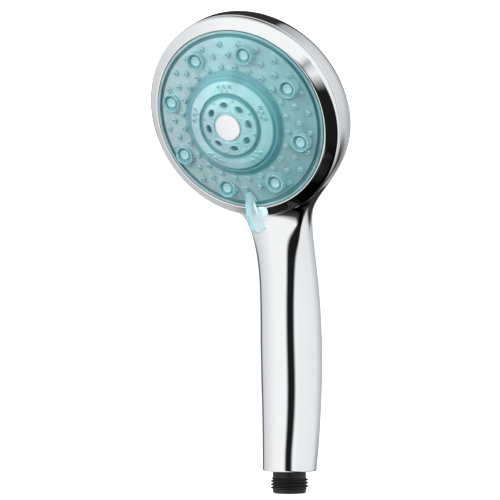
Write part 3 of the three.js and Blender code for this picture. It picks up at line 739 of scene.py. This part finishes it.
class SHOWER_OT_face(bpy.types.Operator):
    """Make the spray face: one line carried round, front and back, with the relief added to its front"""

    bl_idname = "shower.face"
    bl_label = "Spray face"

    def execute(self, context):
        size = context.scene.shower_face
        columns = 640
        front = rounded(np.array(FACE_FRONT), 0.28, 4, closed=False) * MM

        def in_relief(line):
            radius = line[:, 0]
            return ((radius > 8.8 * MM) & (radius < 16.6 * MM)) | ((radius > 18.7 * MM) & (radius < 24.9 * MM))

        coarse, fine = resampled(front, 0.55 * MM), resampled(front, 0.2 * MM)
        line = np.vstack([fine[in_relief(fine)], coarse[~in_relief(coarse)]])
        line = line[np.argsort(-line[:, 0], kind="stable")]
        line = line[np.concatenate([[True], np.hypot(*np.diff(line, axis=0).T) > 0.03 * MM])]
        angle = round_angles(columns)
        x, y = line[:, :1] * np.cos(angle), line[:, :1] * np.sin(angle)
        height = line[:, 1:] + face_relief(x, y, size.slot_depth)
        back = turned(np.array(FACE_BACK) * MM, columns)
        rows = np.concatenate([in_head(x, y, height), back])
        make_piece("spray_face_disc", [woven(rows, closed=True)], "spray_selector",
                   finishes()["aqua"], ["spray_face"], sharp=60)
        return {"FINISHED"}


class SHOWER_OT_jets(bpy.types.Operator):
    """Make the small jets: a tapered line with a sunk hole, carried round at each place on the cone"""

    bl_idname = "shower.jets"
    bl_label = "Small jets"

    def execute(self, context):
        tall = context.scene.shower_face.jet_height
        every = np.arange(24) * 15.0 + PATTERN_TURN
        eighths = np.arange(8) * 45.0 + PATTERN_TURN
        pairs = np.concatenate([eighths - 7.25, eighths + 7.25])
        middles = np.vstack([spots(43.2 * MM, every[1:]), spots(31.7 * MM, every), spots(37.8 * MM, pairs)])
        line = np.array([
            [1.72, -0.5], [1.7, 0.0], [1.58, 0.32], [1.42, 0.9], [1.26, 1.42], [1.08, 1.66], [0.8, 1.72],
            [0.55, 1.58], [0.42, 1.0], [0.36, 0.7],
        ]) * MM
        line[:, 1] = np.where(line[:, 1] > 0, line[:, 1] * tall / (1.7 * MM), line[:, 1])
        foot = cone_height(np.hypot(*middles.T))
        columns = 14
        angle = round_angles(columns)
        x = middles[:, 0, None, None] + line[None, :, :1] * np.cos(angle)
        y = middles[:, 1, None, None] + line[None, :, :1] * np.sin(angle)
        z = foot[:, None, None] + line[None, :, 1:] + 0 * angle
        forms = [woven(rows, poles=(True, True)) for rows in in_head(x, y, z)]
        make_piece("small_jets", forms, "spray_selector", finishes()["jet"])
        return {"FINISHED"}


class SHOWER_OT_nozzles(bpy.types.Operator):
    """Make the eight large nozzles: a round-lipped tube each, with a dished disc seated inside it"""

    bl_idname = "shower.nozzles"
    bl_label = "Large nozzles"

    def execute(self, context):
        size = context.scene.shower_face
        top, wide = size.nozzle_top / MM, size.nozzle_radius / MM
        middles = spots(size.nozzle_ring, np.arange(8) * 45 + 22.5 + PATTERN_TURN)
        tube = [[4.0, 1.2], [wide + 0.35, 1.2], [wide + 0.12, 3.2], [wide - 0.1, top], [4.25, top],
                [4.05, top - 0.6]]
        tube = rounded(tube, 0.4, 5) * MM
        seat = [[3.0, 1.4], [3.9, 1.4], [3.9, top - 0.55], [3.25, top - 1.1], [3.0, top - 1.5]]
        seat = rounded(seat, 0.2, 4) * MM
        carried = [("large_nozzles", tube, 48, "nozzle"), ("nozzle_seats", seat, 40, "seat")]
        for name, line, columns, finish in carried:
            forms = [woven(turned(line, columns, place), closed=True) for place in middles]
            make_piece(name, forms, "spray_selector", finishes()[finish])
        disc = [[0, 3.9], [2.85, 3.9], [2.85, 4.75], [2.3, 5.1], [1.5, 4.75], [0, 4.6]]
        disc = rounded(disc, 0.25, 4, closed=False)[1:-1] * MM
        forms = [woven(turned(disc, 40, place), poles=(True, True)) for place in middles]
        stands_for = [f"aerator_disc_{i + 1}" for i in range(8)]
        make_piece("nozzle_discs", forms, "spray_selector", finishes()["disc"],
                   stands_for)
        return {"FINISHED"}


class SHOWER_OT_cap(bpy.types.Operator):
    """Make the round cap at the middle of the face: a low crowned line carried round"""

    bl_idname = "shower.cap"
    bl_label = "Centre cap"

    def execute(self, context):
        line = [[0.4, 14.6], [2.8, 14.56], [5.0, 14.46], [6.5, 14.32], [7.15, 14.15], [7.35, 13.95],
                [7.3, 13.78]]
        under = [[6.62, 13.72], [6.62, 12.25], [6.4, 12.2], [3.0, 12.2], [0.4, 12.2]]
        rows = turned(np.vstack([spline(line, 5), under]) * MM, 96)
        make_piece("round_cap", [woven(rows, poles=(True, True))], "spray_selector",
                   finishes()["cap"], ["centre_cap"], sharp=60)
        return {"FINISHED"}


def bezier(a, b, c, d, count):
    """A cubic curve between a and d, drawn towards b and c."""
    t = np.linspace(0, 1, count)[:, None]
    a, b, c, d = (np.asarray(point, float) for point in (a, b, c, d))
    return (1 - t) ** 3 * a + 3 * t * (1 - t) ** 2 * b + 3 * t**2 * (1 - t) * c + t**3 * d


def lever_outline():
    """The fin from the side, as [distance down the face, height], in millimetres, evenly spaced."""
    heel = [[40.4, 4.5], [39.6, 3], [50.2, 0.45], [55.8, -1.7], [56.9, -3.4], [60.6, -7.2]]
    line = np.vstack([
        rounded(heel, 1.0, 6, closed=False),
        bezier([60.6, -7.2], [63.2, -7.9], [64.7, -6.9], [64.9, -4.8], 14)[1:],
        [[64.9, -2.0], [64.9, 0.8]],
        bezier([64.9, 0.8], [64.6, 4.6], [61, 8.4], [55.5, 8.5], 26)[1:],
        bezier([55.5, 8.5], [50, 8.5], [44, 6.8], [40.4, 4.5], 26)[1:-1],
    ])
    loop = np.vstack([line, line[:1]])
    length = np.concatenate([[0], np.cumsum(np.hypot(*np.diff(loop, axis=0).T))])
    at = np.linspace(0, length[-1], 200, endpoint=False)
    return np.stack([np.interp(at, length, loop[:, 0]), np.interp(at, length, loop[:, 1])], axis=1)


class SHOWER_OT_lever(bpy.types.Operator):
    """Make the selector's fin and its foot: the side outline drawn in towards both flat sides, with
    a rounded edge all round"""

    bl_idname = "shower.lever"
    bl_label = "Selector lever"

    def execute(self, context):
        half = context.scene.shower_face.lever_thickness / 2
        outline = lever_outline() * MM
        along = np.roll(outline, -1, axis=0) - np.roll(outline, 1, axis=0)
        inwards = np.stack([along[:, 1], -along[:, 0]], axis=1)
        inwards /= np.hypot(*inwards.T)[:, None]
        middle = np.array([57.5, 1.5]) * MM
        if ((middle - outline) * inwards).sum() < 0:
            inwards = -inwards
        edge = 0.55 * MM
        quarter = np.linspace(0, math.pi / 2, 6)
        # (share of the outline about its middle, how far it is drawn in, distance from the mid plane)
        side = [(share, 0.8 * MM, half) for share in (0.04, 0.5, 0.85, 1.0)]
        side += [(1.0, edge * (1 - math.sin(q)), half - edge + edge * math.cos(q)) for q in quarter]
        rings = side + [(share, drawn, -x) for share, drawn, x in reversed(side)]
        share, drawn, x = np.array(rings).T
        shape = outline[None] + inwards[None] * drawn[:, None, None]
        shape = middle + (shape - middle) * share[:, None, None]
        rows = in_head(x[:, None], -shape[..., 0], shape[..., 1])
        foot = np.array([[1.2, 40.0], [1.7, 41.4], [2.25, 43.6], [2.75, 45.7], [2.5, 46.3]])
        foot_line = resampled(foot * MM, 0.5 * MM)
        turn = round_angles(24)
        bulge, lift = (np.sign(wave) * np.abs(wave) ** 0.6 for wave in (np.cos(turn), np.sin(turn)))
        wide, down = foot_line[:, :1], foot_line[:, 1:]
        foot_rows = in_head(wide * bulge, -down + 0 * bulge, cone_height(down) + 0.8 * MM + 0.5 * MM * lift)
        forms = [woven(grid, poles=(True, True)) for grid in (rows, foot_rows)]
        make_piece("selector_fin", forms, "spray_selector", finishes()["clear"],
                   ["selector_lever"])
        return {"FINISHED"}


# ---------------------------------------------------------------- the hose end


class SHOWER_OT_connector(bpy.types.Operator):
    """Make the threaded connector: its outline carried round, with a ridge added that climbs by the
    pitch each turn and fades out at both ends; and the strainer in its mouth"""

    bl_idname = "shower.connector"
    bl_label = "Connector and strainer"

    def execute(self, context):
        columns = 120
        pitch, crest, root = 1.814 * MM, 10.4775 * MM, 9.3155 * MM
        mouth = rounded([[7.4, 0.6], [7.4, 0], [9.0, 0], [9.3155, 0.5]], 0.2, 5, closed=False)
        thread = np.stack([np.full(150, 9.3155), np.linspace(0.7, 9.3, 150)], axis=1)
        collar = [
            [9.3155, 12.75], [9.6, 12.8], [11.7, 12.8], [11.7, 20], [10.4, 20.5], [10.4, 34], [7.1, 34],
            [7.1, 30.2], [8.6, 30.2], [8.6, 27.8], [7.1, 27.8], [7.1, 22.2], [5.2, 22.2], [5.2, 10.4],
            [7.4, 10.4], [7.4, 5.0],
        ]
        collar = rounded(collar, 0.25, 4, closed=False)
        neck = [[9.3155, 9.6], [9.3155, 10.6], [9.3155, 11.6]]
        line = np.vstack([mouth, thread, neck, collar]) * MM
        angle = round_angles(columns)
        z = line[:, 1:] + 0 * angle
        phase = (z - pitch * angle / (2 * math.pi)) / pitch
        off = np.abs(phase - np.round(phase)) * 2
        ridge = 1 - smooth_step(0.2, 0.86, off)
        fade = smooth_step(1.7 * MM, 2.9 * MM, z) * (1 - smooth_step(7.7 * MM, 8.8 * MM, z))
        outside = np.abs(line[:, :1] - root) < 1e-7
        radius = line[:, :1] + np.where(outside, (crest - root) * ridge * fade, 0)
        rows = np.stack([radius * np.cos(angle), radius * np.sin(angle), z], axis=-1)
        finish = finishes()
        make_piece("hose_connector", [woven(rows, closed=True)], "body", finish["black"],
                   ["threaded_connector"], sharp=70)
        dish = [[0.3, 2.6], [4, 1.9], [5.6, 0.6], [7.1, 0.6], [7.1, 1.6], [6.2, 1.6], [4.4, 3], [0.3, 3.6]]
        dish = rounded(dish, 0.3, 5, closed=False) * MM
        rows = turned(dish, 72, upright=True)
        make_piece("strainer", [woven(rows, poles=(True, True))], "body", finish["mesh"],
                   ["filter_screen"], sharp=60)
        return {"FINISHED"}


# ---------------------------------------------------------------- all finishes

_made = {}


def finishes():
    """All finishes by name; made once."""
    if not _made:
        tint = bpy.context.scene.shower_finishes
        colour = {name: tuple(getattr(tint, name)) for name in Finishes.__annotations__}
        _made.update(
            chrome=chrome_plate(colour["chrome"]),
            cap=chrome_plate(colour["chrome"]),
            aqua=aqua_moulding(colour["aqua_pale"], colour["aqua_mid"], colour["aqua_deep"]),
            jet=clear_moulding("jet_tips", colour["aqua_pale"], 0.5, 0.05),
            nozzle=clear_moulding("nozzle_tubes", shade(colour["aqua_pale"], 1.15), 0.6, 0.04),
            seat=clear_moulding("nozzle_seats", colour["aqua_deep"], 0.3, 0.06),
            disc=clear_moulding("nozzle_inserts", colour["aqua_pale"], 0.3, 0.12),
            clear=clear_fin(colour["clear_side"], colour["clear_aqua"]),
            black=moulded("black_moulding", colour["black"], 0.33, sheen=0.35),
            white=moulded("white_moulding", colour["white"], 0.45),
            grey=moulded("pale_grey_moulding", colour["grey"], 0.4),
            rubber=moulded("sealing_rubber", colour["rubber"], 0.75, grain=0.0003),
            steel=drawn_steel(colour["steel"]),
            mesh=strainer_mesh(colour["white"]),
        )
    return _made


INNER_FINISHES = {
    "connector_o_ring": "rubber", "base_seal": "rubber", "port_seal": "rubber",
    "flow_restrictor": "grey", "channel_plate": "grey", "detent_plunger": "grey",
    "water_tube": "white", "diverter_base": "white", "massage_turbine": "white",
    "base_screw_1": "steel", "base_screw_2": "steel", "base_screw_3": "steel", "base_screw_4": "steel",
    "port_spring": "steel", "detent_spring": "steel", "centre_screw": "steel", "retaining_washer": "steel",
}


class SHOWER_OT_inner_pieces(bpy.types.Operator):
    """Give the CAD pieces inside the head and handle their finishes"""

    bl_idname = "shower.inner_pieces"
    bl_label = "Inner pieces"

    def execute(self, context):
        made = finishes()
        for name, finish in INNER_FINISHES.items():
            node = frame["nodes"][name]
            node.data.materials.clear()
            node.data.materials.append(made[finish])
        return {"FINISHED"}


# ---------------------------------------------------------------- the stage


class SHOWER_OT_stage(bpy.types.Operator):
    """Make the pale floor with its curved backdrop, the soft lights and the camera"""

    bl_idname = "shower.stage"
    bl_label = "Stage"

    def execute(self, context):
        stage = context.scene.shower_stage
        self.sweep(stage)
        self.lights(stage)
        self.camera(context, stage)
        context.scene.view_settings.view_transform = "Standard"
        return {"FINISHED"}

    def sweep(self, stage):
        """A wide floor that curves up into a wall on every side: a dish turned about the upright axis."""
        low = -0.5 * MM
        floor = [[0.02, low], [1.2, low], [2.4, low], [3.2, 0.2], [3.7, 1.0], [3.8, 2.2], [3.8, 4.5]]
        rows = turned(spline(floor, 8), 96, upright=True)
        mesh = new_mesh("pale_sweep", *woven(rows, poles=(True, False)))
        made = Finish("pale_paper", Roughness=0.9, Emission_Color=(1.0, 1.0, 1.0, 1.0), Emission_Strength=0.8)
        made.drift(made.noise(0.4), tuple(stage.backdrop), 0.995)
        mesh.materials.append(made.material)
        sweep = new_object("pale_sweep", mesh)
        sweep.visible_glossy = sweep.visible_diffuse = sweep.visible_shadow = False

    def lights(self, stage):
        """Light from all round, as a photographer's tent gives it: bright cloth to the front left, cooler
        cloth to the right, black cards behind and beside the camera, dark above and below."""
        world = bpy.data.worlds.new("studio")
        world.use_nodes = True
        studio = Nodes(world.node_tree)
        maths, window = studio.math, studio.window

        def less(share):
            return maths("SUBTRACT", 1.0, share)

        direction = studio.node("ShaderNodeTexCoord", {})["Generated"]
        x, y, z = studio.parts(studio.mapped(direction, Rotation=(0.0, 0.0, -stage.azimuth)))
        round_about = maths("DEGREES", maths("ARCTAN2", x, maths("MULTIPLY", y, -1.0)))
        height = maths("DEGREES", maths("ARCSINE", z))
        cool, warm = (0.965, 0.985, 1.0), (1.0, 1.0, 0.995)
        # (degrees round from the camera, level, tint): bright cloth at the left and in front, dimmer behind
        around = [
            (-180, 0.45, cool), (-150, 0.6, cool), (-110, 0.8, cool), (-60, 1.0, warm), (15, 1.0, warm),
            (30, 0.95, cool), (100, 0.9, cool), (150, 0.5, cool), (180, 0.45, cool),
        ]
        place = maths("MULTIPLY_ADD", round_about, 1 / 360, 0.5)
        sides = studio.tints(place, [((at + 180) / 360, shade(tint, level)) for at, level, tint in around])
        # a black floor that ends 70 degrees down, and a tent that gets dim from 35 degrees up; both
        # stand 10 degrees higher at the right and 14 at the back left
        up_down = [(-90, 0.01), (-70, 0.05), (-55, 0.95), (35, 1.0), (70, 0.15), (90, 0.1)]
        lowered = maths("MULTIPLY_ADD", window(round_about, 8.0, 34.0), -10.0, height)
        lowered = maths("MULTIPLY_ADD", less(window(round_about, -135.0, -115.0)), -14.0, lowered)
        place = maths("MULTIPLY_ADD", lowered, 1 / 180, 0.5)
        levels = studio.tints(place, [((at + 90) / 180, (level,) * 3) for at, level in up_down])
        # a black card near the front that slants to the right and gets wider the lower it is
        below = maths("MAXIMUM", maths("MULTIPLY", height, -1.0), 0.0)
        middle = maths("MULTIPLY_ADD", below, 1.15, -9.0)
        half = maths("MULTIPLY_ADD", below, 0.24, 9.0)
        off_middle = maths("ABSOLUTE", maths("SUBTRACT", round_about, middle))
        from_card = maths("SUBTRACT", off_middle, half)
        past_end = maths("MAXIMUM", window(from_card, -2.0, 11.0), window(height, 2.0, 12.0))
        open_side = maths("MAXIMUM", past_end, 0.012)
        # black cards high behind and low at the back right, and a thin black strip at the back left
        turned_away = window(maths("ABSOLUTE", round_about), 150.0, 158.0)
        behind = maths("MULTIPLY", turned_away, window(height, 5.0, 14.0))
        off_strip = window(maths("ABSOLUTE", maths("ADD", round_about, 149.0)), 5.0, 11.0)
        past_strip = window(maths("ABSOLUTE", height), 6.0, 13.0)
        strip = maths("MULTIPLY", less(off_strip), less(past_strip))
        low_right = maths("MULTIPLY", window(round_about, 118.0, 134.0), less(window(height, -12.0, -4.0)))
        for card, darkness in ((behind, 0.93), (strip, 0.88), (low_right, 0.93)):
            open_side = maths("MULTIPLY", open_side, maths("MULTIPLY_ADD", card, -darkness, 1.0))
        tent = studio.vector("MULTIPLY", sides, levels)
        seen = studio.node("ShaderNodeVectorMath", {0: tent, "Scale": open_side}, operation="SCALE")["Vector"]
        studio.give(world.node_tree.nodes["Background"].inputs["Color"], seen)
        bpy.context.scene.world = world
        self.soft_box("key_box", (-0.75, -1.1, 0.75), 0.9, 16.0)
        self.soft_box("fill_box", (1.1, -0.7, 0.45), 0.9, 7.0)

    def soft_box(self, name, place, across, watts):
        """A soft light aimed at the head; it lights the plastics and doesn't show in the chrome."""
        data = bpy.data.lights.new(name, "AREA")
        data.shape = "DISK"
        data.size = across
        data.energy = watts
        lamp = new_object(name, data)
        away = Vector(place) - Vector((0.0, -0.06, 0.18))
        lamp.location = place
        lamp.rotation_euler = away.to_track_quat("Z", "Y").to_euler()
        lamp.visible_glossy = lamp.visible_camera = False

    def camera(self, context, stage):
        turn = stage.azimuth
        back = np.array([math.sin(turn), -math.cos(turn), 0.0])
        right = np.array([math.cos(turn), math.sin(turn), 0.0])
        data = bpy.data.cameras.new("camera")
        data.lens = stage.lens
        data.sensor_width = 36.0
        data.clip_start, data.clip_end = 0.05, 30.0
        camera = new_object("camera", data)
        camera.location = back * stage.distance + right * stage.aim_side + np.array([0, 0, stage.aim_height])
        camera.rotation_euler = (math.radians(90), 0.0, turn)
        context.scene.camera = camera


# ---------------------------------------------------------------- panel and running

OPERATORS = (
    SHOWER_OT_body, SHOWER_OT_bezel, SHOWER_OT_face, SHOWER_OT_jets, SHOWER_OT_nozzles, SHOWER_OT_cap,
    SHOWER_OT_lever, SHOWER_OT_connector, SHOWER_OT_inner_pieces, SHOWER_OT_stage,
)


class SHOWER_PT_panel(bpy.types.Panel):
    """Sizes, colours and the steps that make the hand shower"""

    bl_idname = "SHOWER_PT_panel"
    bl_label = "Hand Shower"
    bl_space_type = "VIEW_3D"
    bl_region_type = "UI"
    bl_category = "Hand Shower"

    def draw(self, context):
        for name, group in GROUPS.items():
            box = self.layout.box()
            for prop in group.__annotations__:
                box.prop(getattr(context.scene, name), prop)
        for operator in OPERATORS:
            self.layout.operator(operator.bl_idname)


def register():
    for group in GROUPS.values():
        bpy.utils.register_class(group)
    for name, group in GROUPS.items():
        setattr(bpy.types.Scene, name, bpy.props.PointerProperty(type=group))
    for operator in OPERATORS:
        bpy.utils.register_class(operator)
    bpy.utils.register_class(SHOWER_PT_panel)


def unregister():
    bpy.utils.unregister_class(SHOWER_PT_panel)
    for operator in reversed(OPERATORS):
        bpy.utils.unregister_class(operator)
    for name in GROUPS:
        delattr(bpy.types.Scene, name)
    for group in reversed(list(GROUPS.values())):
        bpy.utils.unregister_class(group)


def main():
    register()
    for operator in OPERATORS:
        getattr(bpy.ops.shower, operator.bl_idname.partition(".")[2])()
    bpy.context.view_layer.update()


if __name__ == "__main__":
    main()
